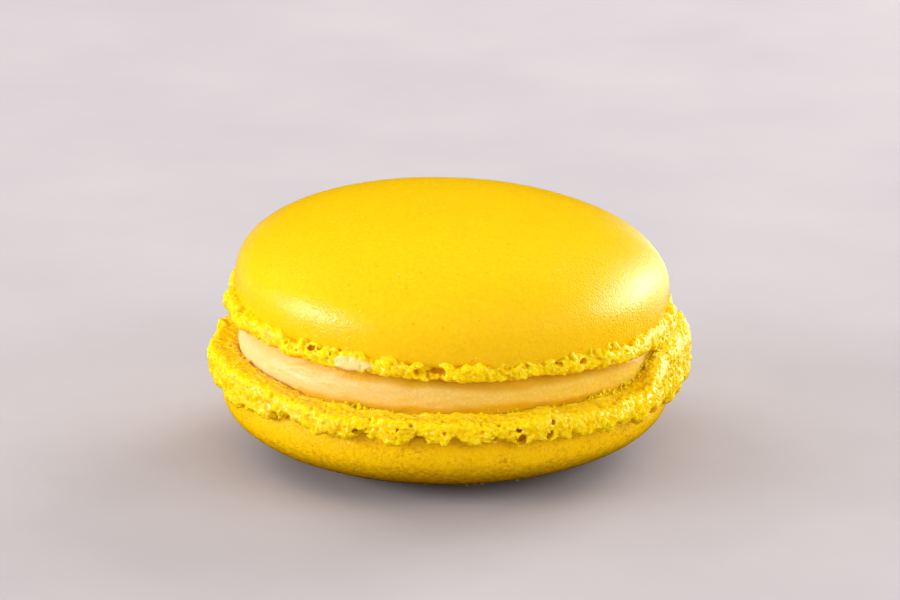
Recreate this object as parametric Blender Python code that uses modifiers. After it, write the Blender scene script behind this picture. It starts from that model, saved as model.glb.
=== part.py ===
"""A French macaron: two domed almond shells with ruffled feet, and a layer of cream between them.

Metres, +Z up. The origin is on the surface that the macaron rests on, under its middle.
The shells lie closest together on the +X side; -Y is the front.
"""

import math

import bpy
from mathutils import Vector, noise

MM = 0.001
COLUMNS = 106  # steps round each turned piece
GAP = 0.25 * MM  # clearance between the cream and each shell
MERGE = 0.00001  # points on the axis closer than this become one

# Heights above the table, at the macaron's middle.
LOWER_FACE_Z = 9.4 * MM  # inner face of the lower shell
UPPER_FACE_Z = 13.1 * MM  # inner face of the upper shell
RIM_RADIUS = 18.6 * MM  # where a shell's flat inner face turns into its foot
SLOPE_RADIUS = 19.4 * MM  # a ring on the slope up to the rim

CREAM_RADIUS = 19.9 * MM
CREAM_BULGE = 0.45 * MM  # how far the cream's side swells past its edges
CREAM_WAVE = 0.35 * MM

# Sizes of each shell, measured from its inner face towards its crown. A vector of three lengths gives a size
# of the foot at the front and back, at the left and at the right.
LOWER_SHELL = {
    "dome_radius": 21.33 * MM,
    "lip_height": 2.1 * MM,
    "lip_tuck": 0.25 * MM,  # how far the dome's lip turns in under its widest part
    "widest_height": 3.3 * MM,
    "crown_height": LOWER_FACE_Z,
    "crown_flat": 9.0 * MM,  # radius of the flat spot that the macaron rests on
    "roundness": 2.2,  # exponent of the dome's superellipse
    "foot_radius": Vector((22.5, 22.45, 23.0)) * MM,
    "foot_height": Vector((2.3, 2.4, 2.5)) * MM,  # below the widest part, so that they meet in a crease
    "rim_raise": Vector((0.4, 1.8, 3.0)) * MM,  # how far the rim rises past the inner face
    "rim_onset": ((0.87, 0.985), (0.80, 0.96)),  # where it does so, as cosines: at the left and at the right
    "centre": Vector((-0.45, 0.0)) * MM,
    "lean": Vector((-math.radians(0.8), -math.radians(0.6))),  # slope of the face along X and Y
    "seed": 11.0,
}
UPPER_SHELL = {
    "dome_radius": 20.62 * MM,
    "lip_height": 1.45 * MM,
    "lip_tuck": 0.55 * MM,
    "widest_height": 3.06 * MM,
    "crown_height": 10.86 * MM,
    "crown_flat": 0.0,
    "roundness": 2.44,
    "foot_radius": Vector((21.15, 21.7, 21.5)) * MM,
    "foot_height": Vector((1.8, 2.6, 2.1)) * MM,
    "rim_raise": Vector((0.1, 0.0, 0.15)) * MM,
    "rim_onset": ((0.3, 0.9), (0.3, 0.9)),
    "centre": Vector((0.15, 0.0)) * MM,
    "lean": Vector((-math.radians(2.0), math.radians(0.3))),
    "seed": 37.0,
}

# Ruffles of a foot: how many lobes go round it, and how far they push it out or down.
RUFFLES = ((9, 0.25 * MM), (23, 0.3 * MM), (41, 0.3 * MM))
EDGE_RUFFLES = ((13, 0.2 * MM), (29, 0.4 * MM), (47, 0.25 * MM))
DOME_WAVES = ((3, 0.12 * MM), (6, 0.06 * MM))
FOOT_ROUNDNESS = 2.8  # exponent of the foot's superellipse: above 2 is fuller than round
SIDE_FOCUS = 2.5  # how closely a foot keeps to the left and right sizes: a power of the cosine
CREST_RADIUS = 21.9 * MM  # where the rim stands highest past the inner face
LUMP_SIZE = 2.3 * MM
LUMP_HEIGHT = 0.5 * MM


def ripple(angle, lobes, seed):
    """A smooth uneven wave round the ring, from about -1 to 1, with about that many lobes."""
    reach = lobes / math.tau
    return 1.6 * noise.noise(Vector((reach * math.cos(angle), reach * math.sin(angle), seed)))


def ripples(angle, waves, seed):
    """The sum of several ripples, each a pair of lobes and height."""
    return sum(
        height * ripple(angle, lobes, seed + 5.3 * rank) for rank, (lobes, height) in enumerate(waves)
    )


def by_side(angle, sizes):
    """A size at an angle round the ring: the first at the front and back, the others at left and right."""
    front, left, right = sizes
    side = math.cos(angle)
    return front + ((left if side < 0 else right) - front) * abs(side) ** SIDE_FOCUS


def rim_rise(angle, radius, shell):
    """How far the inner face and the rim rise there, past the face's flat middle."""
    front, left, right = shell["rim_raise"]
    left_onset, right_onset = shell["rim_onset"]
    crest = front + (left - front) * smooth_step(*left_onset, -math.cos(angle))
    crest += (right - front) * smooth_step(*right_onset, math.cos(angle))
    return crest * smooth_step(RIM_RADIUS, CREST_RADIUS, radius)


def superellipse(share, roundness):
    """(across, up) on a quarter superellipse, from its widest point at 0 to its top at 1."""
    turn = share * math.pi / 2
    return max(math.cos(turn), 0.0) ** (2 / roundness), math.sin(turn) ** (2 / roundness)


def foot_profile(shell, steps=9):
    """The foot's full round, from the inner face out to its widest and back in beside the dome."""
    reach = shell["foot_radius"][0] - RIM_RADIUS
    middle = shell["foot_height"][0] / 2
    across_at_end = (shell["dome_radius"] - RIM_RADIUS) / reach
    last_share = math.acos(across_at_end ** (FOOT_ROUNDNESS / 2)) / (math.pi / 2)
    points = []
    for step in range(1, steps + 1):
        share = -1 + (1 + last_share) * step / steps
        across, up = superellipse(abs(share), FOOT_ROUNDNESS)
        points.append((RIM_RADIUS + reach * across, middle * (1 + math.copysign(up, share))))
    return points


def dome_profile(shell, steps=8):
    """From the lip, out to the dome's widest and up over the shoulder to the crown's edge."""
    radius, widest = shell["dome_radius"], shell["widest_height"]
    rise = shell["crown_height"] - widest
    flat_share = shell["crown_flat"] / radius
    flat_up = (1 - flat_share ** shell["roundness"]) ** (1 / shell["roundness"])
    points = [(radius - shell["lip_tuck"], shell["lip_height"])]
    for step in range(steps):
        across, up = superellipse(step / steps, shell["roundness"])
        if across > 1.05 * flat_share:
            points.append((radius * across, widest + rise * up / flat_up))
    if shell["crown_flat"]:
        points.append((shell["crown_flat"], shell["crown_height"]))
    return points


def turned(name, profile):
    """A solid of revolution: a half profile that starts and ends on the axis, with a Screw modifier."""
    mesh = bpy.data.meshes.new(name + "_profile")
    edges = [(i, i + 1) for i in range(len(profile) - 1)]
    mesh.from_pydata([(r, 0, z) for r, z in profile], edges, [])
    guide = bpy.data.objects.new(name + "_guide", mesh)
    bpy.context.scene.collection.objects.link(guide)
    screw = guide.modifiers.new("Turn", "SCREW")
    screw.steps = screw.render_steps = COLUMNS
    screw.use_merge_vertices = True
    screw.merge_threshold = MERGE
    bpy.context.view_layer.update()
    solid = bpy.data.meshes.new_from_object(guide.evaluated_get(bpy.context.evaluated_depsgraph_get()))
    bpy.data.objects.remove(guide)
    solid.name = name
    return bpy.data.objects.new(name, solid)


def smooth_step(low, high, value):
    share = min(max((value - low) / (high - low), 0.0), 1.0)
    return share * share * (3 - 2 * share)


def foot_moves(point, radius, angle, shell):
    """How far a point of the foot goes out, and how far towards the crown."""
    foot_radius, foot_height = shell["foot_radius"][0], shell["foot_height"][0]
    lip_radius = shell["dome_radius"] - shell["lip_tuck"]
    outer = smooth_step(lip_radius - 0.5 * MM, foot_radius, radius)
    far = smooth_step(0, foot_height, point.z)
    wider = by_side(angle, shell["foot_radius"]) - foot_radius
    taller = by_side(angle, shell["foot_height"]) - foot_height
    push = outer * (ripples(angle, RUFFLES, shell["seed"]) + wider)
    lift = outer * far * (ripples(angle, EDGE_RUFFLES, shell["seed"] + 90) + taller)
    lift -= (1 - far) * rim_rise(angle, radius, shell)
    lump = outer * LUMP_HEIGHT * 1.6 * noise.noise(point / LUMP_SIZE + Vector((shell["seed"], 0, 0)))
    away = Vector((radius - lip_radius + MM, point.z - foot_height / 2)).normalized()
    push += lump * away.x
    lift += lump * away.y
    if point.z > foot_height / 2:
        push = max(push, shell["dome_radius"] - radius)
    return push, lift


def dome_push(height, angle, shell):
    """How far a point of the dome goes out, so that the dome isn't quite round."""
    on_dome = smooth_step(shell["lip_height"], shell["widest_height"], height)
    off_crown = 1 - smooth_step(shell["widest_height"], shell["crown_height"], height)
    return on_dome * off_crown * ripples(angle, DOME_WAVES, shell["seed"] + 50)


def ruffled(point, shell):
    """Moves one point of a turned shell, so that its foot is ruffled and its dome uneven."""
    radius, angle = math.hypot(point.x, point.y), math.atan2(point.y, point.x)
    if radius < MERGE:
        return point.copy()
    lip_radius = shell["dome_radius"] - shell["lip_tuck"]
    at_lip = math.hypot(radius - lip_radius, point.z - shell["lip_height"]) < MERGE
    if point.z < shell["foot_height"][0] and not at_lip:
        push, lift = foot_moves(point, radius, angle, shell)
    else:
        push, lift = dome_push(point.z, angle, shell), 0.0
    return Vector(((radius + push) * math.cos(angle), (radius + push) * math.sin(angle), point.z + lift))


def placed(point, shell, face_z, up):
    """From a shell's own frame to the macaron's: up is 1 for the upper shell and -1 for the lower."""
    leaning = 1 - smooth_step(0, shell["crown_height"], point.z) if shell["crown_flat"] else 1.0
    x, y = point.x + shell["centre"].x, point.y + shell["centre"].y
    slope = shell["lean"].x * x + shell["lean"].y * y
    return Vector((x, y, face_z + up * point.z + leaning * slope))


def shell_solid(name, shell, face_z, up, material):
    """One almond shell: flat inner face, ruffled foot and smooth dome."""
    profile = [(0, 0), (RIM_RADIUS, 0), (SLOPE_RADIUS, 0), *foot_profile(shell), *dome_profile(shell)]
    profile.append((0, shell["crown_height"]))
    solid = turned(name, profile)
    for vertex in solid.data.vertices:
        vertex.co = placed(ruffled(vertex.co, shell), shell, face_z, up)
    return finished(solid, material)


def clear_height(x, y, shell, face_z, up):
    """How high above the table a place lies that keeps a gap to a shell's inner face and sloping rim."""
    away = Vector((x, y)) - shell["centre"]
    rise = rim_rise(math.atan2(away.y, away.x), away.length + GAP, shell)
    return face_z - up * (rise + GAP) + shell["lean"].x * x + shell["lean"].y * y


def cream_solid(name, material, steps=6):
    """The cream: a disc as thick as the space between the faces, with a swollen side."""
    profile = [(0, 0)]
    for step in range(steps + 1):
        turn = math.pi * step / steps - math.pi / 2
        profile.append((CREAM_RADIUS - CREAM_BULGE * (1 - math.cos(turn)), 0.5 + 0.5 * math.sin(turn)))
    profile.append((0, 1))
    solid = turned(name, profile)
    for vertex in solid.data.vertices:
        angle, share = math.atan2(vertex.co.y, vertex.co.x), vertex.co.z
        swell = 1 + CREAM_WAVE * ripple(angle, 7, 71.0) / CREAM_RADIUS
        x, y = vertex.co.x * swell, vertex.co.y * swell
        low = clear_height(x, y, LOWER_SHELL, LOWER_FACE_Z, -1)
        high = clear_height(x, y, UPPER_SHELL, UPPER_FACE_Z, 1)
        vertex.co = Vector((x, y, low + (high - low) * share))
    return finished(solid, material)


def finished(solid, material):
    """Turns the faces outwards, shades the solid smooth and puts it in the macaron's collection."""
    bpy.data.collections["french_macaron"].objects.link(solid)
    solid.data.materials.append(material)
    solid.data.shade_smooth()
    solid.data.set_sharp_from_angle(angle=math.radians(50))
    return face_outwards(solid)


def face_outwards(solid):
    """Flips every face if the solid's signed volume is negative."""
    mesh = solid.data
    mesh.calc_loop_triangles()
    volume = 0.0
    for triangle in mesh.loop_triangles:
        a, b, c = (mesh.vertices[i].co for i in triangle.vertices)
        volume += a.dot(b.cross(c))
    if volume < 0:
        mesh.flip_normals()
    return solid


def food_material(name, colour, roughness):
    material = bpy.data.materials.new(name)
    material.use_nodes = True
    surface = material.node_tree.nodes["Principled BSDF"]
    surface.inputs["Base Color"].default_value = (*colour, 1.0)
    surface.inputs["Roughness"].default_value = roughness
    surface.inputs["Metallic"].default_value = 0.0
    return material


def build():
    for old in list(bpy.data.objects):
        bpy.data.objects.remove(old)
    bpy.context.scene.collection.children.link(bpy.data.collections.new("french_macaron"))
    almond = food_material("almond_shell", (0.95, 0.62, 0.01), 0.55)
    cream = food_material("cream_filling", (0.85, 0.55, 0.2), 0.4)
    shell_solid("shell_lower", LOWER_SHELL, LOWER_FACE_Z, -1, almond)
    cream_solid("filling", cream)
    shell_solid("shell_upper", UPPER_SHELL, UPPER_FACE_Z, 1, almond)


build()
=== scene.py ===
"""A French macaron, dressed: smooth crusts, spongy feet and a layer of cream in place of the plain solids.

The scene is in metres, +Z up. The shape functions work in millimetres, each shell in its own frame:
height runs from its flat inner face towards its crown, and azimuth -90 degrees is the front.
"""
import itertools
import math

import bmesh
import bpy
import numpy as np
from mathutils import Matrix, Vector, noise
from mathutils.bvhtree import BVHTree


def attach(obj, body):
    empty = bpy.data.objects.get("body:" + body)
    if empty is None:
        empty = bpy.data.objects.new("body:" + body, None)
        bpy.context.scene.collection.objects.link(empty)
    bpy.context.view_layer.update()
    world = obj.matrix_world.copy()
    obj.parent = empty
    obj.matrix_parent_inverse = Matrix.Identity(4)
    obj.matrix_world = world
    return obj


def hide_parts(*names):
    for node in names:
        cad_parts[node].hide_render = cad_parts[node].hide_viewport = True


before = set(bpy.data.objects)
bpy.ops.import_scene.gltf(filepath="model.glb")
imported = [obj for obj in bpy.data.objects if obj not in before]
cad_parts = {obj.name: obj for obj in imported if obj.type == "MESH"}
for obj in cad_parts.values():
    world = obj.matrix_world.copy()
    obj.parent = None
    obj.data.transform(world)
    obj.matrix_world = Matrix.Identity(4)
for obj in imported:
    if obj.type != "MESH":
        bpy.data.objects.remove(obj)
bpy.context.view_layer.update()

MM = 0.001

# ---------------------------------------------------------------- sizes, in millimetres
# A triple gives a foot's size at the front and back, at the left and at the right. The rim's slope is the
# pair of radii that the face slopes up between, to the rim's crest. Its onset gives, for the left and for the
# right, how far to the side the rise sets in and is full, as a share. An edge lobe is where the edge of the
# foot that hangs over the dome reaches further or less far: azimuth, length, and half width in radians.

LOWER = {
    "name": "shell_lower",
    "up": -1,
    "face_z": 9.4,
    "dome_radius": 21.33,
    "lip_height": 1.65,
    "lip_tuck": 0.25,
    "widest_height": 3.3,
    "crown_height": 9.4,
    "crown_flat": 9.0,
    "roundness": 2.2,
    "foot_radius": (22.5, 22.45, 23.0),
    "foot_height": (2.0, 2.1, 2.2),
    "foot_rounding": (0.55, 0.8, 1.25),
    "rim_raise": (0.0, 1.0, 3.05),
    "rim_onset": ((0.55, 0.85), (0.80, 0.96)),
    "rim_slope": ((17.6, 18.9, 17.6), (21.9, 20.4, 21.9)),
    "centre": (-0.45, 0.0),
    "lean": (-math.radians(0.8), -math.radians(0.6)),
    "edge_lobes": (
        (-131, -0.6, 0.10),
        (-120.5, 0.5, 0.10),
        (-111.5, -0.3, 0.07),
        (-103.3, 0.3, 0.08),
        (-95.5, -0.35, 0.07),
        (-81, -0.2, 0.07),
        (-71.8, 0.5, 0.08),
        (-63.4, 0.45, 0.09),
        (-54.3, 0.25, 0.08),
        (-42, -0.25, 0.06),
        (-36, 0.35, 0.06),
        (-32.3, -0.3, 0.05),
        (-28.5, 0.35, 0.06),
        (-24.5, -0.3, 0.05),
        (-20, 0.35, 0.06),
        (-16.2, -0.3, 0.05),
        (-12, 0.35, 0.06),
        (-8, -0.3, 0.05),
    ),
    "skin": {"freckled": 1.0, "coarseness": 0.13, "gloss": 0.12},
    "seed": 11.0,
}
UPPER = {
    "name": "shell_upper",
    "up": 1,
    "face_z": 13.1,
    "dome_radius": 20.62,
    "lip_height": 1.15,
    "lip_tuck": 0.55,
    "widest_height": 3.06,
    "crown_height": 10.86,
    "crown_flat": 0.0,
    "roundness": 2.44,
    "foot_radius": (20.95, 21.6, 20.95),
    "foot_height": (1.5, 2.3, 2.0),
    "foot_rounding": (0.55, 1.0, 0.8),
    "rim_raise": (-0.2, -0.1, 0.6),
    "rim_onset": ((0.3, 0.9), (0.86, 0.97)),
    "rim_slope": ((17.6, 17.6, 17.6), (20.4, 20.4, 20.4)),
    "centre": (0.15, 0.0),
    "lean": (-math.radians(2.0), math.radians(0.3)),
    "edge_lobes": (),
    "skin": {"freckled": 0.2, "coarseness": 0.065, "gloss": 0.35},
    "seed": 37.0,
}

# Waves round the ring: how many lobes, and how high.
RUFFLES = ((9, 0.25), (23, 0.3), (41, 0.3))
EDGE_RUFFLES = ((13, 0.12), (29, 0.18), (47, 0.18))
RAGGED_EDGE = ((83, 0.28), (131, 0.25))
RIM_RUFFLES = ((17, 0.15), (39, 0.15))
DOME_WAVES = ((3, 0.12), (6, 0.06))
LIP_RAGS = ((31, 0.16), (67, 0.16), (140, 0.1))
CREAM_WAVES = ((5, 0.2), (11, 0.12))
SHADE_BAND_WAVES = ((9, 0.05), (31, 0.05), (71, 0.03))

# Relief: how far apart the bumps are, and how high.
LIP_RELIEF = ((1.3, 0.10), (0.7, 0.05))
DOME_RELIEF = ((6.0, 0.05), (1.1, 0.006))
FOOT_LUMPS = ((2.8, 0.30), (1.2, 0.24), (0.55, 0.18))
FOOT_GRAIN = ((0.4, 0.09), (0.24, 0.07))
RAGGED_HOLES = ((0.8, 0.5), (0.45, 0.35))  # for pores, cavities and peaks, as a share of their size
CREAM_DRAG = (((4.0, 4.0, 1.6), 0.09), ((1.6, 1.6, 0.7), 0.05), (0.55, 0.022))

LIP_ROLL = (0.35, 0.25)  # how far the lip curls in and down
LIP_LEDGE = 1.6  # how far in from the lip's edge the flat underside of a crust begins
FOOT_INNER_RADIUS = 19.0
FOOT_SHOWN = (19.2, 19.9)  # a foot is plain within the first radius, and full crumb past the second
FOOT_STEP = 0.16  # spacing of the grid that a foot is grown on
FOOT_BAND = 1.2  # how far from a foot's plain form its lumps can reach
FOOT_DRAWN_IN = 0.12  # how far a foot's plain form draws in, before its lumps swell out of it
SMEAR_THICKNESS = 0.25
TEAR_PAINTED_SHADE = (0.25, 0.65, 0.34)  # painted shade in tears and cavities: how far under the plain form it sets in and is full, and its strength
UNDERSIDE_PAINTED_SHADE = 0.14  # painted shade: how much deeper and darker the colour of a foot is where it faces down
FACE_PAINTED_LIGHT = 0.08  # painted light: how much paler the face of a foot is, inside the rim, where it lies in shade
PORE_TRIALS = 7000
PORE_SIZES = (0.10, 0.15)  # the least half width of a pore, and how much more the rare largest has
PORE_STRETCH = (0.9, 1.8)

CREAM_RADIUS = 19.75
CREAM_CENTRE = -0.4
CREAM_SUNK = (0.35, 0.3)  # how far the cream reaches into the lower and the upper shell
CREAM_BULGE = 0.8
CREAM_FLARE = 0.4  # how far the cream spreads where it meets the lower shell
CREAM_SPILL = 0.25  # how far the cream runs out over the lower foot, left of the front
CREAM_SPILL_ANGLE = -148
CREAM_SWELL = 1.5  # how much further out the cream reaches on the right
CREAM_SWELL_ANGLE = -16
CREAM_SPREAD = 0.7  # half width of the spill and of the swell, in radians
SHADE_BAND_THINNED = (-168, 0.9, 0.85)  # where the painted shade band thins out: azimuth, half width in radians, and by how much


# ---------------------------------------------------------------- noise

LATTICE = 32
SEED_SHIFT = np.float32((7.31, 3.77, 5.13))  # how far a step in the seed moves the lattice
gradients = np.random.default_rng(5).normal(size=(LATTICE, LATTICE, LATTICE, 3))
gradients = (gradients / np.linalg.norm(gradients, axis=-1, keepdims=True)).astype(np.float32)


def smooth_noise(points, cell, seed):
    """Gradient noise, about -1 to 1, whose bumps are about a cell apart; a cell may be a triple."""
    place = (points / np.float32(cell) + SEED_SHIFT * np.float32(seed)).astype(np.float32)
    base = np.floor(place).astype(np.int32)
    part = place - base
    fade = part * part * part * (part * (part * 6 - 15) + 10)
    total = np.zeros(len(points), np.float32)
    for corner in itertools.product((0, 1), repeat=3):
        index = (base + corner) % LATTICE
        slope = gradients[index[:, 0], index[:, 1], index[:, 2]]
        weight = np.ones(len(points), np.float32)
        for axis in range(3):
            weight *= fade[:, axis] if corner[axis] else 1 - fade[:, axis]
        total += weight * ((part - np.float32(corner)) * slope).sum(axis=1)
    return 1.7 * total


def relief(points, layers, seed):
    """Layers of noise, summed, each with a seed of its own."""
    return sum(height * smooth_noise(points, cell, seed + rank) for rank, (cell, height) in enumerate(layers))


def ripple(angles, lobes, seed):
    """A smooth uneven wave round the ring, from about -1 to 1, with about that many lobes."""
    reach = lobes / math.tau
    places = (Vector((reach * math.cos(angle), reach * math.sin(angle), seed)) for angle in angles)
    return np.array([1.6 * noise.noise(place) for place in places])


def ripples(angles, waves, seed):
    """Waves round the ring, summed, each with a seed of its own."""
    return sum(
        height * ripple(angles, lobes, seed + 5.3 * rank) for rank, (lobes, height) in enumerate(waves)
    )


def by_side(angles, sizes):
    """A size round the ring: the first of the triple at front and back, the others at left and right."""
    front, left, right = sizes
    side = np.cos(angles)
    return front + np.where(side < 0, left - front, right - front) * abs(side) ** 2.5


def rim_crest(angles, shell):
    """How far the rim rises past the face; the rise sets in towards the left and towards the right."""
    front, left, right = shell["rim_raise"]
    side = np.cos(angles)
    (left_low, left_high), (right_low, right_high) = shell["rim_onset"]
    on_left = (left - front) * smooth_step(left_low, left_high, -side)
    on_right = (right - front) * smooth_step(right_low, right_high, side)
    return front + on_left + on_right + ripples(angles, RIM_RUFFLES, shell["seed"] + 60)


def beside(angles, degrees, width):
    """1 at a place on the ring, falling smoothly to 0 that many radians to either side."""
    away = abs((angles - math.radians(degrees) + math.pi) % math.tau - math.pi)
    return 1 - smooth_step(0, width, away)


def smooth_step(low, high, value):
    """0 up to the low value and 1 from the high one, with a smooth rise between them."""
    share = np.clip((value - low) / (high - low), 0, 1)
    return share * share * (3 - 2 * share)


# ---------------------------------------------------------------- meshes

def placed(points, shell):
    """From a shell's own frame to the macaron's, still in millimetres."""
    x = points[:, 0] + shell["centre"][0]
    y = points[:, 1] + shell["centre"][1]
    height = points[:, 2]
    leaning = 1.0
    if shell["crown_flat"]:
        leaning = 1 - smooth_step(0, shell["crown_height"], height)
    slope = shell["lean"][0] * x + shell["lean"][1] * y
    return np.stack([x, y, shell["face_z"] + shell["up"] * height + leaning * slope], axis=1)


def mesh_piece(name, points, faces, material, marks=None):
    """A smooth closed mesh in metres from points in millimetres, with its faces turned outwards."""
    mesh = bpy.data.meshes.new(name)
    mesh.from_pydata((points * MM).tolist(), [], faces.tolist() if isinstance(faces, np.ndarray) else faces)
    mesh.update()
    mesh.calc_loop_triangles()
    corners = np.zeros(len(mesh.loop_triangles) * 3, np.int32)
    mesh.loop_triangles.foreach_get("vertices", corners)
    a, b, c = points[corners].reshape(-1, 3, 3).transpose(1, 0, 2)
    if np.einsum("ij,ij->i", a, np.cross(b, c)).sum() < 0:
        mesh.flip_normals()
    for key, values in (marks or {}).items():
        mesh.attributes.new(key, "FLOAT", "POINT").data.foreach_set("value", values.astype(np.float32))
    mesh.shade_smooth()
    mesh.materials.append(material)
    piece = bpy.data.objects.new(name, mesh)
    bpy.context.scene.collection.objects.link(piece)
    return piece


def turned_faces(rows, columns):
    """Faces of a closed turned grid: a first point, rows of columns points, and a last point."""
    faces = []
    last = 1 + rows * columns
    for column in range(columns):
        following = (column + 1) % columns
        faces.append((0, 1 + column, 1 + following))
        for row in range(rows - 1):
            start = 1 + row * columns
            below = start + columns
            faces.append((start + column, below + column, below + following, start + following))
        start = 1 + (rows - 1) * columns
        faces.append((start + column, last, start + following))
    return faces


def surface_net(field):
    """Points (in grid steps) and quads of the field's zero surface; axis 0 of the grid closes on itself."""
    _, rows, columns = field.shape
    layers = (field, np.roll(field, -1, axis=0))
    corners = list(itertools.product((0, 1), repeat=3))
    values = np.stack(
        [layers[a][:, b : rows - 1 + b, c : columns - 1 + c] for a, b, c in corners], axis=-1
    )
    mixed = (values.min(axis=-1) < 0) & (values.max(axis=-1) >= 0)
    values = values[mixed]
    offset = np.zeros((len(values), 3))
    count = np.zeros(len(values))
    for i, j in itertools.combinations(range(8), 2):
        start, end = np.array(corners[i]), np.array(corners[j])
        if abs(end - start).sum() != 1:
            continue
        crossing = (values[:, i] < 0) != (values[:, j] < 0)
        share = values[crossing, i] / (values[crossing, i] - values[crossing, j])
        offset[crossing] += start + share[:, None] * (end - start)
        count += crossing
    points = np.argwhere(mixed) + offset / count[:, None]
    ids = np.full(mixed.shape, -1)
    ids[mixed] = np.arange(len(points))
    before = np.roll(ids, 1, axis=0)
    inside = field < 0
    quads = []

    def add(change, leaving, around):
        """Quads across the grid lines that the surface crosses, each from the four cells round its line."""
        for flip in (False, True):
            chosen = change & (leaving != flip)
            quad = np.stack([index[chosen] for index in around], axis=1)
            quads.append(quad[:, ::-1] if flip else quad)

    here, ahead = inside[:, 1:-1, 1:-1], np.roll(inside, -1, axis=0)[:, 1:-1, 1:-1]
    add(here != ahead, here, (ids[:, :-1, :-1], ids[:, 1:, :-1], ids[:, 1:, 1:], ids[:, :-1, 1:]))
    here, ahead = inside[:, :-1, 1:-1], inside[:, 1:, 1:-1]
    add(here != ahead, here, (before[:, :, :-1], before[:, :, 1:], ids[:, :, 1:], ids[:, :, :-1]))
    here, ahead = inside[:, 1:-1, :-1], inside[:, 1:-1, 1:]
    add(here != ahead, here, (before[:, :-1], ids[:, :-1], ids[:, 1:], before[:, 1:]))
    return points, np.concatenate(quads)


def largest_body(count, quads):
    """True for each quad on the body that has the most points, so that loose crumbs and bubbles go."""
    label = np.arange(count)
    starts, ends = quads.ravel(), np.roll(quads, -1, axis=1).ravel()
    while True:
        low = np.minimum(label[starts], label[ends])
        lowered = label.copy()
        np.minimum.at(lowered, starts, low)
        np.minimum.at(lowered, ends, low)
        lowered = lowered[lowered]
        if (lowered == label).all():
            break
        label = lowered
    return label[quads[:, 0]] == np.bincount(label).argmax()


# ---------------------------------------------------------------- crust

CRUST_COLUMNS = 620
DOME_STEPS = 64
TUCK_STEPS = 12
ROLL_STEPS = 6


def crust_profile(shell):
    """(radius, height) pairs from the crown to the lip and in under it, close together at the shoulder."""
    radius, widest = shell["dome_radius"], shell["widest_height"]
    rise = shell["crown_height"] - widest
    flat_share = shell["crown_flat"] / radius
    flat_up = (1 - flat_share ** shell["roundness"]) ** (1 / shell["roundness"])
    points = []
    for step in range(1, DOME_STEPS):
        turn = math.pi / 2 * (1 - step / DOME_STEPS)
        across = math.cos(turn) ** (2 / shell["roundness"])
        up = math.sin(turn) ** (2 / shell["roundness"]) / flat_up
        points.append((radius * across, widest + rise * min(up, 1.0)))
    points.append((radius, widest))
    drop = widest - shell["lip_height"]
    for step in range(1, TUCK_STEPS + 1):
        turn = math.pi / 2 * step / TUCK_STEPS
        points.append((radius - shell["lip_tuck"] * (1 - math.cos(turn)), widest - drop * math.sin(turn)))
    edge = radius - shell["lip_tuck"]
    inwards, down = LIP_ROLL
    for step in range(1, ROLL_STEPS + 1):
        turn = math.pi * step / ROLL_STEPS
        points.append((edge - inwards * (1 - math.cos(turn)), shell["lip_height"] - down * math.sin(turn)))
    points.append((edge - LIP_LEDGE, shell["lip_height"]))
    return points


def crust(shell, material):
    """The smooth baked skin of a shell: a dome whose lip is a little uneven, shut underneath."""
    profile = crust_profile(shell)
    angles = np.arange(CRUST_COLUMNS) * math.tau / CRUST_COLUMNS
    radius, height = (np.array(values)[:, None] for values in zip(*profile))
    seed = shell["seed"]
    near_lip = 1 - smooth_step(shell["lip_height"], shell["widest_height"] + 0.6, height)
    waves = ripples(angles, DOME_WAVES, seed + 50)[None, :]
    ragged = ripples(angles, LIP_RAGS, seed + 20)[None, :]
    middle = smooth_step(shell["lip_height"], shell["widest_height"], height)
    middle = middle * (1 - smooth_step(shell["widest_height"], shell["crown_height"], height))
    radius = radius + middle * waves
    height = height + near_lip * ragged
    points = np.stack(
        [radius * np.cos(angles), radius * np.sin(angles), np.broadcast_to(height, radius.shape)], axis=-1
    ).reshape(-1, 3)
    rough = relief(points, LIP_RELIEF, seed)
    outward = points[:, :2] / np.maximum(np.hypot(points[:, 0], points[:, 1]), 1)[:, None]
    swell = relief(points, DOME_RELIEF, seed + 2)
    push = rough * np.repeat(near_lip.ravel(), CRUST_COLUMNS) + swell
    points[:, :2] += outward * push[:, None]
    grounded = 1.0
    if shell["crown_flat"]:
        grounded = 1 - smooth_step(shell["crown_height"] - 0.3, shell["crown_height"] - 0.05, points[:, 2])
    points[:, 2] += 0.5 * swell * grounded
    points = np.concatenate([[(0, 0, shell["crown_height"])], points, [(0, 0, shell["lip_height"])]])
    return mesh_piece(
        shell["name"] + "_crust", placed(points, shell), turned_faces(len(profile), CRUST_COLUMNS), material
    )


# ---------------------------------------------------------------- foot

def foot_grid(shell):
    """The angles, radii and heights of the ring-shaped grid that a foot is grown on."""
    widest, tallest, raised = (max(shell[key]) for key in ("foot_radius", "foot_height", "rim_raise"))
    steps = int(math.tau * widest / FOOT_STEP)
    angles = np.arange(steps) * math.tau / steps
    radii = np.concatenate([np.arange(18.3, 19.5, 0.4), np.arange(19.5, widest + 1.5, FOOT_STEP)])
    heights = np.arange(-1.1 - raised, tallest + 1.4, FOOT_STEP)
    return angles, radii, heights


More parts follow.
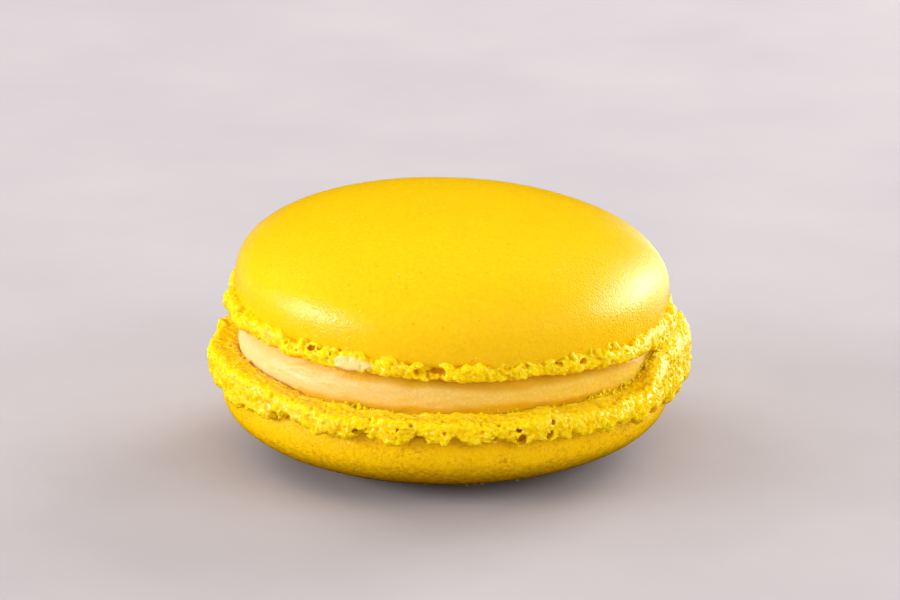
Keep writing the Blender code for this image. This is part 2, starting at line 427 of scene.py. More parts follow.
def foot_envelope(shell, angles, radii, heights):
    """Distance to the foot's plain form: a rounded ring with ruffled sides, whose rim rises past the face."""
    seed = shell["seed"]
    outer = by_side(angles, shell["foot_radius"]) + ripples(angles, RUFFLES, seed)
    far = by_side(angles, shell["foot_height"]) + ripples(angles, EDGE_RUFFLES + RAGGED_EDGE, seed + 90)
    for degrees, reach, width in shell["edge_lobes"]:
        far += reach * beside(angles, degrees, width)
    crest = rim_crest(angles, shell)
    rounding = by_side(angles, shell["foot_rounding"])
    outer, far, crest, rounding = (values[:, None, None] for values in (outer, far, crest, rounding))
    radii, heights = radii[None, :, None], heights[None, None, :]
    start, end = (by_side(angles, sizes)[:, None, None] for sizes in shell["rim_slope"])
    near = -crest * smooth_step(start, end, radii)
    across = abs(radii - (outer + FOOT_INNER_RADIUS) / 2) - (outer - FOOT_INNER_RADIUS) / 2 + rounding
    along = abs(heights - (far + near) / 2) - (far - near) / 2 + rounding
    beyond = np.hypot(np.maximum(across, 0), np.maximum(along, 0))
    return (beyond + np.minimum(np.maximum(across, along), 0) - rounding).astype(np.float32)


def reshape(field, grid, warp, centre, half_sizes, added=False):
    """Takes a rough ellipsoid out of the field, or adds one; its sizes run round, outwards and up."""
    angles, radii, heights = grid
    azimuth, away, up = centre
    wide, deep, high = half_sizes
    steps = len(angles)
    turn = wide / away
    first, last = (int(angle / math.tau * steps) for angle in (azimuth - turn, azimuth + turn))
    span = np.arange(first - 1, last + 3)
    rows = np.flatnonzero(abs(radii - away) < deep + FOOT_STEP)
    columns = np.flatnonzero(abs(heights - up) < high + FOOT_STEP)
    if not len(rows) or not len(columns):
        return
    window = np.ix_(span % steps, rows, columns)
    dx = (span * math.tau / steps - azimuth)[:, None, None] * away / wide
    dr = (radii[rows] - away)[None, :, None] / deep
    dz = (heights[columns] - up)[None, None, :] / high
    depth = ((1 + warp[window] - np.sqrt(dx * dx + dr * dr + dz * dz)) * min(half_sizes)).astype(np.float32)
    field[window] = np.minimum(field[window], -depth) if added else np.maximum(field[window], depth)


def crumb_field(shell, details, grid):
    """The foot's form as a field, below 0 inside: lumps on the envelope, with peaks, pores and cavities."""
    angles, radii, heights = grid
    seed = shell["seed"]
    envelope = foot_envelope(shell, *grid)
    near = abs(envelope) < FOOT_BAND
    angle, radius, height = (axis[near] for axis in np.meshgrid(*grid, indexing="ij"))
    points = np.stack([radius * np.cos(angle), radius * np.sin(angle), height], axis=1).astype(np.float32)
    lumps = sum(
        size * abs(smooth_noise(points, cell, seed + rank)) for rank, (cell, size) in enumerate(FOOT_LUMPS)
    )
    lumps *= 1 + 0.45 * smooth_noise(points, 4.5, seed + 9)
    smear = smeared(angle, height, details["smears"], points)
    shown = smooth_step(*FOOT_SHOWN, radius) * (1 - smear)
    field = envelope.copy()
    field[near] += FOOT_DRAWN_IN - lumps * shown - SMEAR_THICKNESS * smear
    warp = np.zeros_like(field)
    warp[near] = relief(points, RAGGED_HOLES, seed + 6)

    rng = np.random.default_rng(int(seed))
    for _ in range(PORE_TRIALS):
        index = tuple(rng.integers(len(axis)) for axis in grid)
        size = PORE_SIZES[0] + PORE_SIZES[1] * rng.random() ** 6
        stretch = rng.uniform(*PORE_STRETCH)
        place = [axis[i] for axis, i in zip(grid, index)]
        covered = place[1] < FOOT_SHOWN[1] or (place[1] < shell["dome_radius"] - 0.3 and place[2] > 1.2)
        if abs(field[index]) < 0.2 and not covered:
            reshape(field, grid, warp, place, (size, size, size * stretch))
    for kind, sunk, unevenness in (("peaks", 0.45, 1.0), ("cavities", 0.2, 1.0), ("tears", 0.2, 0.4)):
        for azimuth, up, wide, high, deep in details[kind]:
            turn = math.radians(azimuth)
            centre = (turn, float(by_side(turn, shell["foot_radius"])) - sunk, up)
            reshape(field, grid, unevenness * warp, centre, (wide, deep, high), added=kind == "peaks")
    return field, envelope


def smeared(angle, height, smears, points):
    """How much each point of a foot lies under a smear of cream, from 0 to 1, with an uneven edge."""
    share = np.zeros(len(angle))
    uneven = 0.3 * smooth_noise(points, 0.9, 8.0)
    for azimuth, up, wide, high in smears:
        dx = (angle - math.radians(azimuth) % math.tau) * 21.0 / wide
        dz = (height - up) / high
        share = np.maximum(share, 1 - smooth_step(0.8, 1.0, np.hypot(dx, dz) + uneven))
    return share


def spread(index, values, count):
    """The sum of the rows of values that share an index."""
    return np.stack([np.bincount(index, column, count) for column in values.T], axis=1)


def outward_normals(points, quads):
    """Unit normals at the points: the mean of the quads round each, by their area."""
    a, b, c, d = (points[corner] for corner in quads.T)
    across = np.cross(c - a, d - b)
    normals = sum(spread(corner, across, len(points)) for corner in quads.T)
    return normals / np.maximum(np.linalg.norm(normals, axis=1, keepdims=True), 1e-9)


def evened(points, quads, rounds):
    """The points, each drawn to the mean of its neighbours that many times."""
    starts, ends = quads.ravel(), np.roll(quads, -1, axis=1).ravel()
    neighbours = np.bincount(starts, minlength=len(points))[:, None]
    for _ in range(rounds):
        points = spread(starts, points[ends], len(points)) / neighbours
    return points


def foot(shell, material, details):
    """The spongy foot of a shell, with painted shade kept as an attribute: darker the deeper each point lies
    in a hollow, under the plain form or facing down, paler on the face inside the rim.
    """
    grid = foot_grid(shell)
    angles, radii, heights = grid
    field, envelope = crumb_field(shell, details, grid)
    places, quads = surface_net(field)
    quads = quads[largest_body(len(places), quads)]
    used, quads = np.unique(quads, return_inverse=True)
    places, quads = places[used], quads.reshape(-1, 4)
    angle = places[:, 0] * math.tau / len(angles)
    radius = np.interp(places[:, 1], np.arange(len(radii)), radii)
    height = np.interp(places[:, 2], np.arange(len(heights)), heights)
    points = np.stack([radius * np.cos(angle), radius * np.sin(angle), height], axis=1)
    normals = outward_normals(points, quads)
    if (normals * points).sum() < 0:
        quads = quads[:, ::-1]
        normals = -normals
    smear = smeared(angle, height, details["smears"], points)
    grain = sum(size * smooth_noise(points, cell, shell["seed"] + 30) for cell, size in FOOT_GRAIN)
    shown = smooth_step(*FOOT_SHOWN, radius) * (1 - smear)
    crest_radius = by_side(angle, shell["rim_slope"][1])
    slope = 1 - smooth_step(crest_radius - 1.5, crest_radius - 0.5, radius)
    points += normals * (grain * shown * (1 - 0.5 * slope))[:, None]
    # Painted shade: the deeper a point sinks below its neighbours, the darker its colour, as shade falls in
    # hollows.
    painted_shade = sum(
        weight * ((evened(points, quads, rounds) - points) * normals).sum(axis=1)
        for rounds, weight in ((3, 1.2), (8, 0.6))
    )
    nearest = np.round(places).astype(int)
    depth = -envelope[nearest[:, 0] % len(angles), nearest[:, 1], nearest[:, 2]]
    # Painted shade, deeper in tears and cavities the further they reach under the plain form.
    sets_in, full, tear_shade = TEAR_PAINTED_SHADE
    painted_shade = shown * (painted_shade + tear_shade * smooth_step(sets_in, full, depth)) * (1 - 0.8 * slope)
    # Painted light: the face inside the rim, which lies in shade, is made paler.
    painted_shade = painted_shade - FACE_PAINTED_LIGHT * slope
    # Painted shade where the foot faces down.
    painted_shade += UNDERSIDE_PAINTED_SHADE * smooth_step(0.2, 0.9, -shell["up"] * normals[:, 2]) * shown * (1 - slope)
    marks = {"painted_shade": painted_shade, "smear": smear}
    return mesh_piece(shell["name"] + "_foot", placed(points, shell), quads, material, marks)


# ---------------------------------------------------------------- cream

CREAM_COLUMNS = 560
CREAM_ROWS = 48


def cream(material):
    """The cream between the shells, swollen at its side and spread a little where it meets the lower one."""
    angles = np.arange(CREAM_COLUMNS) * math.tau / CREAM_COLUMNS
    share = (np.arange(CREAM_ROWS) / (CREAM_ROWS - 1))[:, None]
    x = CREAM_RADIUS * np.cos(angles)[None, :]
    y = CREAM_RADIUS * np.sin(angles)[None, :]
    bottom, top = LOWER["face_z"] - CREAM_SUNK[0], UPPER["face_z"] + CREAM_SUNK[1]
    low = bottom + LOWER["lean"][0] * x + LOWER["lean"][1] * y
    high = top + UPPER["lean"][0] * x + UPPER["lean"][1] * y
    side = 2 * share - 1
    bulge = CREAM_BULGE * (1 - abs(side) ** 2.2)
    flare = CREAM_FLARE * np.exp(-share / 0.10)
    spill = CREAM_SPILL * beside(angles, CREAM_SPILL_ANGLE, CREAM_SPREAD)[None, :]
    spill = spill * (1 - smooth_step(0.1, 0.75, share))
    swell = CREAM_SWELL * beside(angles, CREAM_SWELL_ANGLE, CREAM_SPREAD)[None, :]
    uneven = ripples(angles, CREAM_WAVES, 71.0)[None, :]
    reach = CREAM_RADIUS - CREAM_BULGE + bulge + flare + spill + swell + uneven
    z = low + (high - low) * share
    points = np.stack([reach * np.cos(angles), reach * np.sin(angles), z], axis=-1).reshape(-1, 3)
    drag = relief(points, CREAM_DRAG, 3)
    points[:, :2] *= (1 + drag / CREAM_RADIUS)[:, None]
    points[:, 0] += CREAM_CENTRE
    points = np.concatenate([[(CREAM_CENTRE, 0, bottom)], points, [(CREAM_CENTRE, 0, top)]])
    wander = ripples(angles, SHADE_BAND_WAVES, 83.0)[None, :]
    # Painted shade: bands along the top and bottom where the shells shade the cream, yellowed by their bounce
    # light.
    shaded_band = np.maximum(smooth_step(0.60, 0.76, share + wander), 1 - smooth_step(0.15, 0.30, share - wander))
    azimuth, width, thinning = SHADE_BAND_THINNED
    shaded_band = (shaded_band * (1 - thinning * beside(angles, azimuth, width)[None, :])).ravel()
    marks = {"shaded_band": np.concatenate([[1.0], shaded_band, [1.0]])}
    return mesh_piece("cream", points, turned_faces(CREAM_ROWS, CREAM_COLUMNS), material, marks)


# ---------------------------------------------------------------- crumbs

AIM_RADIUS = 20.0  # a crumb is dropped along a line that has the stated height here
START_RADIUS = 27.0
SLANT = 0.8  # how much that line falls for each millimetre inwards, at the cream


def hit(trees, azimuth, height, slant):
    """Which tree a line falling towards the axis meets first, where, and the normal there."""
    turn = math.radians(azimuth)
    outwards = Vector((math.cos(turn), math.sin(turn), 0))
    start = outwards * START_RADIUS + Vector((0, 0, height + (START_RADIUS - AIM_RADIUS) * slant))
    along = (Vector((0, 0, -slant)) - outwards).normalized()
    found = []
    for which, tree in enumerate(trees):
        place, normal, _, distance = tree.ray_cast(start, along)
        if place is not None:
            found.append((distance, which, place, normal))
    return min(found, key=lambda item: item[0])[1:] if found else None


def contact_height(trees, azimuth):
    """The height that a falling line has to aim at to meet the second tree just above the first."""
    for step in range(60):
        height = 8.5 + 0.1 * step
        met = hit(trees, azimuth, height, SLANT)
        if met and met[0] == 1:
            return height
    return 10.0


def tree_of(piece):
    """A piece's faces in millimetres, to be met by lines."""
    places = [vertex.co / MM for vertex in piece.data.vertices]
    return BVHTree.FromPolygons(places, [face.vertices for face in piece.data.polygons])


def crumb_piece(material, lower_foot, cream_layer, lower_crust):
    """Loose crumbs: along the contact of cream and lower foot, and a few low on the lower dome."""
    foot_tree, cream_tree, crust_tree = (tree_of(piece) for piece in (lower_foot, cream_layer, lower_crust))
    rng = np.random.default_rng(23)
    places = []
    for first, last, count, size in CRUMB_RUNS:
        for _ in range(count):
            azimuth = rng.uniform(first, last)
            aim = contact_height((foot_tree, cream_tree), azimuth) + rng.normal(-0.05, 0.16)
            _, place, normal = hit((foot_tree, cream_tree), azimuth, aim, SLANT)
            places.append((place, normal, size * rng.uniform(0.5, 1.0)))
    for azimuth, height, size in CRUMBS_BELOW:
        _, place, normal = hit((crust_tree,), azimuth, height, 0.0)
        places.append((place, normal, size))
    ball = bmesh.new()
    bmesh.ops.create_icosphere(ball, subdivisions=3, radius=1.0)
    shape = np.array([vertex.co for vertex in ball.verts])
    faces = np.array([[vertex.index for vertex in face.verts] for face in ball.faces])
    ball.free()
    points = []
    for index, (place, normal, size) in enumerate(places):
        bumpy = 1 + 0.4 * smooth_noise(shape, 1.1, index) + 0.2 * smooth_noise(shape, 0.5, index + 0.5)
        stretch = rng.uniform(0.7, 1.3, size=3)
        points.append(np.array(place + normal * 0.4 * size) + size * stretch * shape * bumpy[:, None])
    faces = np.concatenate([faces + index * len(shape) for index in range(len(points))])
    points = np.concatenate(points)
    # The crumbs carry the painted light of a foot's face, so they read paler.
    return mesh_piece("crumbs", points, faces, material, {"painted_shade": np.full(len(points), -FACE_PAINTED_LIGHT)})


# ---------------------------------------------------------------- materials
# Colours are linear, and the scale of a noise is in cells for each metre.

CRUST_MOTTLE = ((0.3, (0.94, 0.53, 0.0004)), (0.7, (0.97, 0.60, 0.0004)))
ALMOND_SPECK = (1.0, 0.75, 0.20)
CRUST_DOT = (0.88, 0.45, 0.001)
CRUST_FRECKLE = (0.62, 0.29, 0.001)
CRUST_PAINTED_SHADE = (0.25, 0.105, 0.001)
PAINTED_SHADE_HEIGHTS = (5.1, 1.9)  # painted shade: the crust turns darker between these heights over the floor
FOOT_PAINTED_SHADE_COLOURS = (  # painted light and shade, from the lit pale peaks to the shaded brown hollows
    (0.0, (1.0, 0.72, 0.004)),
    (0.25, (0.98, 0.63, 0.001)),
    (0.5, (0.94, 0.53, 0.0005)),
    (0.9, (0.62, 0.23, 0.001)),
)
FOOT_SMEAR = (0.96, 0.74, 0.28)
# Pale flecks, partly almond bits and partly painted glints.
FOOT_FLECK_AND_GLINT = (1.0, 0.88, 0.26)
CREAM_PAINTED_LIGHT = (  # painted light, from the left, palest where light falls, to the right, yellowed by bounce light off the feet
    (0.0, (0.89, 0.61, 0.27)),
    (0.35, (0.87, 0.60, 0.17)),
    (0.6, (0.86, 0.58, 0.085)),
    (1.0, (0.88, 0.58, 0.025)),
)
CREAM_STREAK = (0.86, 0.56, 0.06)
CREAM_GRAIN = (1.0, 0.82, 0.50)
CREAM_PAINTED_SHADE = (0.78, 0.45, 0.001)
FLOOR_MOTTLE = ((0.3, (0.44, 0.41, 0.43)), (0.7, (0.48, 0.445, 0.465)))


def new_material(name):
    """A material with its nodes, its links, its shader and the coordinates that its patterns are laid in."""
    material = bpy.data.materials.new(name)
    material.use_nodes = True
    nodes = material.node_tree.nodes
    coordinates = nodes.new("ShaderNodeTexCoord").outputs["Object"]
    return material, nodes, material.node_tree.links, nodes["Principled BSDF"], coordinates


def set_inputs(node, values):
    """Sets what is the same all over on the node's own sockets."""
    for name, value in values.items():
        node.inputs[name].default_value = value


def noise_node(nodes, links, coordinates, scale, detail):
    node = nodes.new("ShaderNodeTexNoise")
    set_inputs(node, {"Scale": scale, "Detail": detail})
    links.new(coordinates, node.inputs["Vector"])
    return node.outputs["Fac"]


def ramp_node(nodes, links, value, stops):
    """A colour for a value from 0 to 1; each stop is a value and its colour."""
    node = nodes.new("ShaderNodeValToRGB")
    elements = node.color_ramp.elements
    for element, (place, colour) in zip(elements, (stops[0], stops[-1])):
        element.position = place
        element.color = (*colour, 1.0)
    for place, colour in stops[1:-1]:
        elements.new(place).color = (*colour, 1.0)
    links.new(value, node.inputs["Fac"])
    return node.outputs["Color"]


def bump_node(nodes, links, height, distance, before=None):
    """Fine relief, that many metres high, on top of any relief before it."""
    node = nodes.new("ShaderNodeBump")
    set_inputs(node, {"Strength": 1.0, "Distance": distance})
    links.new(height, node.inputs["Height"])
    if before is not None:
        links.new(before, node.inputs["Normal"])
    return node.outputs["Normal"]


def mix_node(nodes, links, share, a, b):
    """That share of b in a; each is a colour, or the output of a node."""
    node = nodes.new("ShaderNodeMix")
    node.data_type = "RGBA"
    links.new(share, node.inputs["Factor"])
    for socket, value in ((node.inputs[6], a), (node.inputs[7], b)):
        if isinstance(value, tuple):
            socket.default_value = (*value, 1.0)
        else:
            links.new(value, socket)
    return node.outputs[2]


def speck_node(nodes, links, coordinates, scale, size, share_shown):
    """1 in scattered specks, 0 elsewhere."""
    cells = nodes.new("ShaderNodeTexVoronoi")
    set_inputs(cells, {"Scale": scale})
    links.new(coordinates, cells.inputs["Vector"])
    near = nodes.new("ShaderNodeMath")
    near.operation = "LESS_THAN"
    near.inputs[1].default_value = size
    links.new(cells.outputs["Distance"], near.inputs[0])
    split = nodes.new("ShaderNodeSeparateColor")
    links.new(cells.outputs["Color"], split.inputs["Color"])
    chosen = nodes.new("ShaderNodeMath")
    chosen.operation = "LESS_THAN"
    chosen.inputs[1].default_value = share_shown
    links.new(split.outputs["Red"], chosen.inputs[0])
    return product_node(nodes, links, near.outputs[0], chosen.outputs[0])


def share_node(nodes, links, value, low, high, most=1.0):
    """A value stretched so that low to high becomes 0 to 1, or to the most."""
    stretched = nodes.new("ShaderNodeMapRange")
    set_inputs(stretched, {"From Min": low, "From Max": high, "To Max": most})
    links.new(value, stretched.inputs["Value"])
    return stretched.outputs["Result"]


def product_node(nodes, links, a, b):
    node = nodes.new("ShaderNodeMath")
    node.operation = "MULTIPLY"
    links.new(a, node.inputs[0])
    links.new(b, node.inputs[1])
    return node.outputs[0]


def attribute_node(nodes, links, name, low, high):
    """A point attribute, stretched so that low to high becomes 0 to 1."""
    source = nodes.new("ShaderNodeAttribute")
    source.attribute_name = name
    return share_node(nodes, links, source.outputs["Fac"], low, high)


def crust_material(name, freckled, coarseness, gloss):
    """Baked almond skin: finely mottled yellow, freckled that much in patches, with painted shade darkening
    it underneath.
    """
    material, nodes, links, surface, coordinates = new_material(name)
    colour = ramp_node(nodes, links, noise_node(nodes, links, coordinates, 2600, 4), CRUST_MOTTLE)
    pale = speck_node(nodes, links, coordinates, 1700, 0.14, 0.04)
    colour = mix_node(nodes, links, pale, colour, ALMOND_SPECK)
    dots = speck_node(nodes, links, coordinates, 1500, 0.2, 0.12)
    colour = mix_node(nodes, links, dots, colour, CRUST_DOT)
    fine = share_node(nodes, links, noise_node(nodes, links, coordinates, 2900, 3), 0.48, 0.74, freckled)
    patches = share_node(nodes, links, noise_node(nodes, links, coordinates, 420, 3), 0.36, 0.66)
    colour = mix_node(nodes, links, product_node(nodes, links, fine, patches), colour, CRUST_FRECKLE)
    # Painted shade: the crust darkens unevenly towards the floor.
    split = nodes.new("ShaderNodeSeparateXYZ")
    links.new(coordinates, split.inputs["Vector"])
    low = nodes.new("ShaderNodeMapRange")
    start, end = (height * MM for height in PAINTED_SHADE_HEIGHTS)
    set_inputs(low, {"From Min": start, "From Max": end, "To Min": -0.5, "To Max": 0.5})
    low.clamp = False
    links.new(split.outputs["Z"], low.inputs["Value"])
    uneven = nodes.new("ShaderNodeMath")
    uneven.use_clamp = True
    links.new(low.outputs["Result"], uneven.inputs[0])
    links.new(noise_node(nodes, links, coordinates, 1900, 4), uneven.inputs[1])
    colour = mix_node(nodes, links, uneven.outputs[0], colour, CRUST_PAINTED_SHADE)
    links.new(colour, surface.inputs["Base Color"])
    set_inputs(surface, {
        "Roughness": 0.23,
        "Specular IOR Level": gloss,
        "Subsurface Weight": 0.1,
        "Subsurface Radius": (1.0, 0.55, 0.08),
        "Subsurface Scale": 0.6 * MM,
    })
    grain = bump_node(nodes, links, noise_node(nodes, links, coordinates, 4600, 2), coarseness * MM)
    links.new(bump_node(nodes, links, dots, -0.05 * MM, grain), surface.inputs["Normal"])
    return material


def foot_material():
    """Open glossy crumb with smears of cream: painted light pales the peaks, and painted shade takes the
    slopes to a deeper yellow and the hollows to brown.
    """
    material, nodes, links, surface, coordinates = new_material("almond_foot")
    # Painted light and shade from the attribute: pale peaks, deeper yellow slopes, brown hollows.
    colour = ramp_node(nodes, links, attribute_node(nodes, links, "painted_shade", -0.12, 0.30), FOOT_PAINTED_SHADE_COLOURS)
    colour = mix_node(nodes, links, attribute_node(nodes, links, "smear", 0.0, 1.0), colour, FOOT_SMEAR)
    # Pale flecks on the raised crumb: partly almond bits, partly painted glints.
    flecks_and_glints = share_node(nodes, links, noise_node(nodes, links, coordinates, 4000, 1), 0.61, 0.72, 0.7)
    raised = attribute_node(nodes, links, "painted_shade", 0.08, -0.04)
    colour = mix_node(nodes, links, product_node(nodes, links, flecks_and_glints, raised), colour, FOOT_FLECK_AND_GLINT)
    links.new(colour, surface.inputs["Base Color"])
    set_inputs(surface, {
        "Roughness": 0.12,
        "Specular IOR Level": 0.33,
        "Subsurface Weight": 0.35,
        "Subsurface Radius": (1.0, 0.55, 0.08),
        "Subsurface Scale": 0.5 * MM,
    })
    grain = bump_node(nodes, links, noise_node(nodes, links, coordinates, 4400, 1), 0.10 * MM)
    links.new(grain, surface.inputs["Normal"])
    return material


def cream_material():
    """Soft vanilla cream, with painted light that makes it palest on the left and painted shade that yellows
    it along both shells.
    """
    material, nodes, links, surface, coordinates = new_material("vanilla_cream")
    split = nodes.new("ShaderNodeSeparateXYZ")
    links.new(coordinates, split.inputs["Vector"])
    # Painted light across the cream: pale on the lit left, yellow from bounce light on the right.
    across = share_node(nodes, links, split.outputs["X"], -18 * MM, 18 * MM)
    colour = ramp_node(nodes, links, across, CREAM_PAINTED_LIGHT)
    flattened = nodes.new("ShaderNodeMapping")
    set_inputs(flattened, {"Scale": (1, 1, 3.5)})
    links.new(coordinates, flattened.inputs["Vector"])
    streaks = noise_node(nodes, links, flattened.outputs["Vector"], 700, 5)
    colour = mix_node(nodes, links, share_node(nodes, links, streaks, 0.48, 0.85), colour, CREAM_STREAK)
    grains = noise_node(nodes, links, coordinates, 4200, 2)
    colour = mix_node(nodes, links, share_node(nodes, links, grains, 0.52, 1.25), colour, CREAM_GRAIN)
    # Painted shade with yellow bounce along the cream's top and bottom edges.
    shade_band = attribute_node(nodes, links, "shaded_band", 0.0, 1.05)
    colour = mix_node(nodes, links, shade_band, colour, CREAM_PAINTED_SHADE)
    links.new(colour, surface.inputs["Base Color"])
    set_inputs(surface, {
        "Roughness": 0.4,
        "Specular IOR Level": 0.4,
        "Subsurface Weight": 0.5,
        "Subsurface Radius": (1.0, 0.6, 0.25),
        "Subsurface Scale": 0.8 * MM,
    })
    fine = bump_node(nodes, links, noise_node(nodes, links, coordinates, 3000, 3), 0.05 * MM)
    links.new(bump_node(nodes, links, streaks, 0.07 * MM, fine), surface.inputs["Normal"])
    return material


# ---------------------------------------------------------------- pieces

# Forms that stand out on the feet: azimuth, height, half width, half height and, but for a smear, half depth.
UPPER_DETAILS = {
    "peaks": (
        (-59.5, 1.5, 0.3, 0.7, 0.45),
        (-57.6, 1.7, 0.25, 0.85, 0.4),
        (-52, 1.6, 0.3, 0.8, 0.4),
        (-49.5, 1.5, 0.4, 0.5, 0.45),
        (-45.5, 1.8, 0.3, 0.7, 0.4),
        (-42.5, 1.6, 0.4, 0.6, 0.45),
        (-121, 1.5, 0.35, 0.6, 0.45),
        (-117, 1.4, 0.3, 0.55, 0.45),
        (-131, 1.8, 0.4, 0.5, 0.45),
    ),
    "cavities": (
        (-127, 1.5, 0.95, 0.3, 0.32),
        (-75.5, 1.35, 0.5, 0.25, 0.5),
        (-70.5, 1.4, 0.45, 0.25, 0.5),
        (-66, 1.4, 0.45, 0.25, 0.5),
        (-62, 1.35, 0.45, 0.25, 0.5),
        (-54.5, 1.3, 0.4, 0.3, 0.5),
    ),
    "tears": (
        (-97.6, 0.75, 0.8, 0.5, 0.5),
        (-95.2, 0.9, 0.95, 0.8, 0.75),
        (-93.2, 0.95, 0.75, 0.6, 0.7),
    ),
    "smears": ((-116, 0.9, 1.75, 0.75),),
}
LOWER_DETAILS = {
    "peaks": (
        (-103, 1.9, 0.6, 0.5, 0.5),
        (-176, 0.1, 0.9, 0.6, 0.55),
        (-165, 0.9, 0.8, 0.7, 0.5),
        (-154, 0.5, 0.7, 0.5, 0.5),
        (177, 0.4, 0.8, 0.8, 0.5),
        (168, -0.6, 0.9, 0.6, 0.5),
        (-90, 1.8, 0.35, 0.5, 0.5),
        (-116, 1.8, 0.4, 0.5, 0.5),
        (-60, 1.9, 0.5, 0.5, 0.5),
    ),
    "cavities": (
        (-110.6, 1.45, 0.9, 0.4, 0.5),
        (-95, 1.6, 0.75, 0.22, 0.45),
        (-88, 1.75, 0.3, 0.2, 0.6),
        (-78, 1.6, 0.4, 0.25, 0.5),
        (-72, 1.75, 0.45, 0.55, 0.5),
        (-65, 1.7, 0.4, 0.45, 0.45),
        (-72.5, 0.9, 0.25, 0.2, 0.35),
        (-64, 0.5, 0.25, 0.25, 0.35),
        (-50, 1.5, 0.4, 0.3, 0.5),
        (-135, 1.6, 0.5, 0.3, 0.5),
    ),
    "tears": (),
    "smears": (),
}

# Loose crumbs: first and last azimuth, how many and how large.
CRUMB_RUNS = (
    (-50, -17, 90, 0.2),
    (-119, -111, 16, 0.2),
    (-106, -55, 26, 0.13),
    (-160, -122, 14, 0.15),
    (178, 205, 22, 0.16),
)
# Crumbs low on the lower dome: azimuth, height and size.
CRUMBS_BELOW = (
    (-80, 0.75, 0.22),
    (-79, 0.55, 0.2),
    (-78, 0.95, 0.16),
    (-73, 0.6, 0.2),
    (-70, 0.8, 0.14),
    (-84, 1.1, 0.13),
    (-66, 1.3, 0.13),
    (-99, 1.0, 0.12),
)

foot_look = foot_material()
cream_look = cream_material()

shells = {}
for shell, details in ((LOWER, LOWER_DETAILS), (UPPER, UPPER_DETAILS)):
    crust_look = crust_material(shell["name"] + "_skin", **shell["skin"])
    shells[shell["name"]] = (crust(shell, crust_look), foot(shell, foot_look, details))
    for piece in shells[shell["name"]]:
        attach(piece, "root")
        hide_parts(shell["name"])

filling = cream(cream_look)
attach(filling, "root")
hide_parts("filling")

lower_crust, lower_foot = shells["shell_lower"]
crumbs = crumb_piece(foot_look, lower_foot, filling, lower_crust)
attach(crumbs, "root")


# ---------------------------------------------------------------- stage, light and camera, in metres

FLOOR_REACH = 2
LIT_POINT = Vector((0, 0, 0.012))  # the middle of the macaron, which every light faces

# Lights: direction from the lit point, distance, width, height, power in watts and colour.
SOFT_LIGHTS = {
    "right_back": ((0.65, 0.66, 0.42), 0.55, 0.34, 0.34, 2.5, (1.0, 0.99, 0.97)),
    "left_front": ((-0.95, -0.27, 0.28), 0.5, 0.25, 0.14, 2.0, (1.0, 0.98, 0.95)),
    "right_front": ((0.9, -0.45, 0.4), 0.6, 0.4, 0.3, 1.55, (1.0, 0.98, 0.96)),
    "left_back": ((-0.7, 0.5, 0.6), 0.6, 0.4, 0.3, 1.15, (1.0, 0.99, 0.98)),
    "front": ((0.2, -0.8, 0.65), 0.7, 0.5, 0.4, 0.3, (1.0, 0.98, 0.96)),
}
GLINTS = {
    "right_glint": ((0.84, 0.50, 0.27), 0.55, 0.42, 0.22, 3.2, (1.0, 0.99, 0.97)),
    "left_glint": ((-0.95, -0.25, 0.13), 0.5, 0.22, 0.10, 1.8, (1.0, 0.98, 0.95)),
    "table_glint": ((0.6, 0.8, -0.12), 0.6, 0.6, 0.2, 0.55, (1.0, 0.98, 0.95)),
    "left_table_glint": ((-0.6, 0.8, -0.12), 0.6, 0.6, 0.2, 0.1, (1.0, 0.98, 0.95)),
}
WORLD_COLOUR = (1.0, 0.98, 0.96)
WORLD_STRENGTH = 0.68

CAMERA_ELEVATION = math.radians(17.4)
CAMERA_DISTANCE = 0.420
CAMERA_LENS = 175.7  # in millimetres, as the sensor's width
CAMERA_SENSOR = 36.0
CAMERA_TARGET = Vector((0, 0, 0.0114))
CAMERA_RAISE = 0.00287  # how far above the target the middle of the picture is


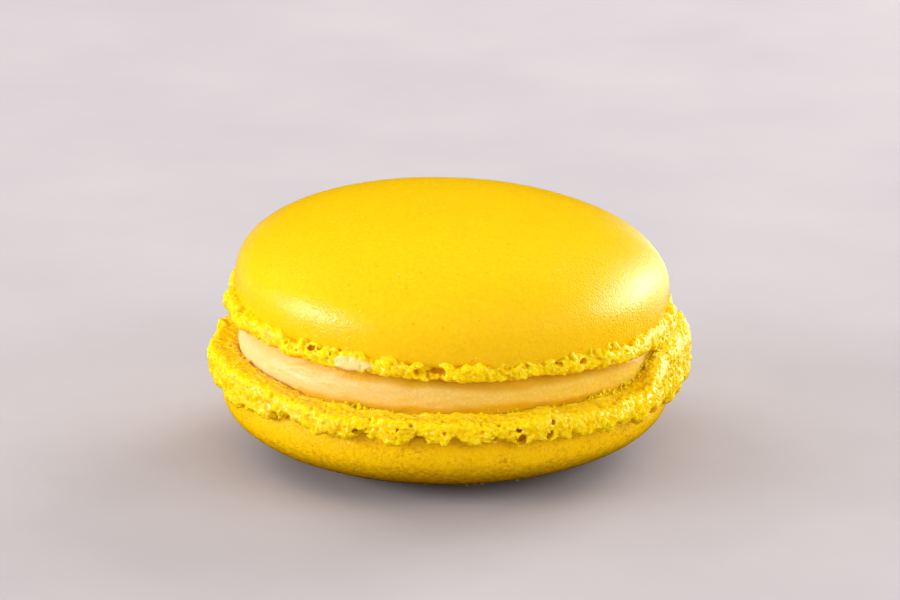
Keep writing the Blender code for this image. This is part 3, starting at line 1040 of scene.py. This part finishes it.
def stage_floor():
    material, nodes, links, surface, coordinates = new_material("pale_floor")
    colour = ramp_node(nodes, links, noise_node(nodes, links, coordinates, 40, 5), FLOOR_MOTTLE)
    links.new(colour, surface.inputs["Base Color"])
    set_inputs(surface, {"Roughness": 0.8, "Specular IOR Level": 0.1})
    mesh = bpy.data.meshes.new("floor")
    corners = [(x * FLOOR_REACH, y * FLOOR_REACH, 0) for x, y in ((-1, -1), (1, -1), (1, 1), (-1, 1))]
    mesh.from_pydata(corners, [], [(0, 1, 2, 3)])
    mesh.materials.append(material)
    floor = bpy.data.objects.new("floor", mesh)
    floor.visible_glossy = False
    bpy.context.scene.collection.objects.link(floor)


def softbox(name, direction, distance, width, height, power, colour, lights, mirrored):
    """A lit panel that faces the macaron: it lights it, or only shows mirrored in its gloss."""
    light = bpy.data.lights.new(name, "AREA")
    light.shape = "RECTANGLE"
    light.size = width
    light.size_y = height
    light.energy = power
    light.color = colour
    holder = bpy.data.objects.new(name, light)
    holder.visible_glossy = mirrored
    holder.visible_diffuse = lights
    bpy.context.scene.collection.objects.link(holder)
    away = Vector(direction).normalized()
    holder.location = LIT_POINT + away * distance
    holder.rotation_mode = "QUATERNION"
    holder.rotation_quaternion = away.to_track_quat("Z", "Y")


def world_light(colour, strength):
    world = bpy.data.worlds.new("studio")
    world.use_nodes = True
    background = world.node_tree.nodes["Background"]
    background.inputs["Color"].default_value = (*colour, 1.0)
    background.inputs["Strength"].default_value = strength
    world.cycles_visibility.glossy = False
    bpy.context.scene.world = world


def front_camera():
    camera = bpy.data.cameras.new("camera")
    camera.sensor_width = CAMERA_SENSOR
    camera.lens = CAMERA_LENS
    camera.clip_start = 0.01
    holder = bpy.data.objects.new("camera", camera)
    bpy.context.scene.collection.objects.link(holder)
    back = Vector((0, -math.cos(CAMERA_ELEVATION), math.sin(CAMERA_ELEVATION)))
    up = Vector((0, math.sin(CAMERA_ELEVATION), math.cos(CAMERA_ELEVATION)))
    holder.location = CAMERA_TARGET + up * CAMERA_RAISE + back * CAMERA_DISTANCE
    holder.rotation_mode = "QUATERNION"
    holder.rotation_quaternion = (-back).to_track_quat("-Z", "Y")
    bpy.context.scene.camera = holder


stage_floor()
for name, box in SOFT_LIGHTS.items():
    softbox(name, *box, lights=True, mirrored=False)
for name, box in GLINTS.items():
    softbox(name, *box, lights=False, mirrored=True)
world_light(WORLD_COLOUR, WORLD_STRENGTH)
front_camera()
bpy.context.scene.view_settings.view_transform = "Standard"
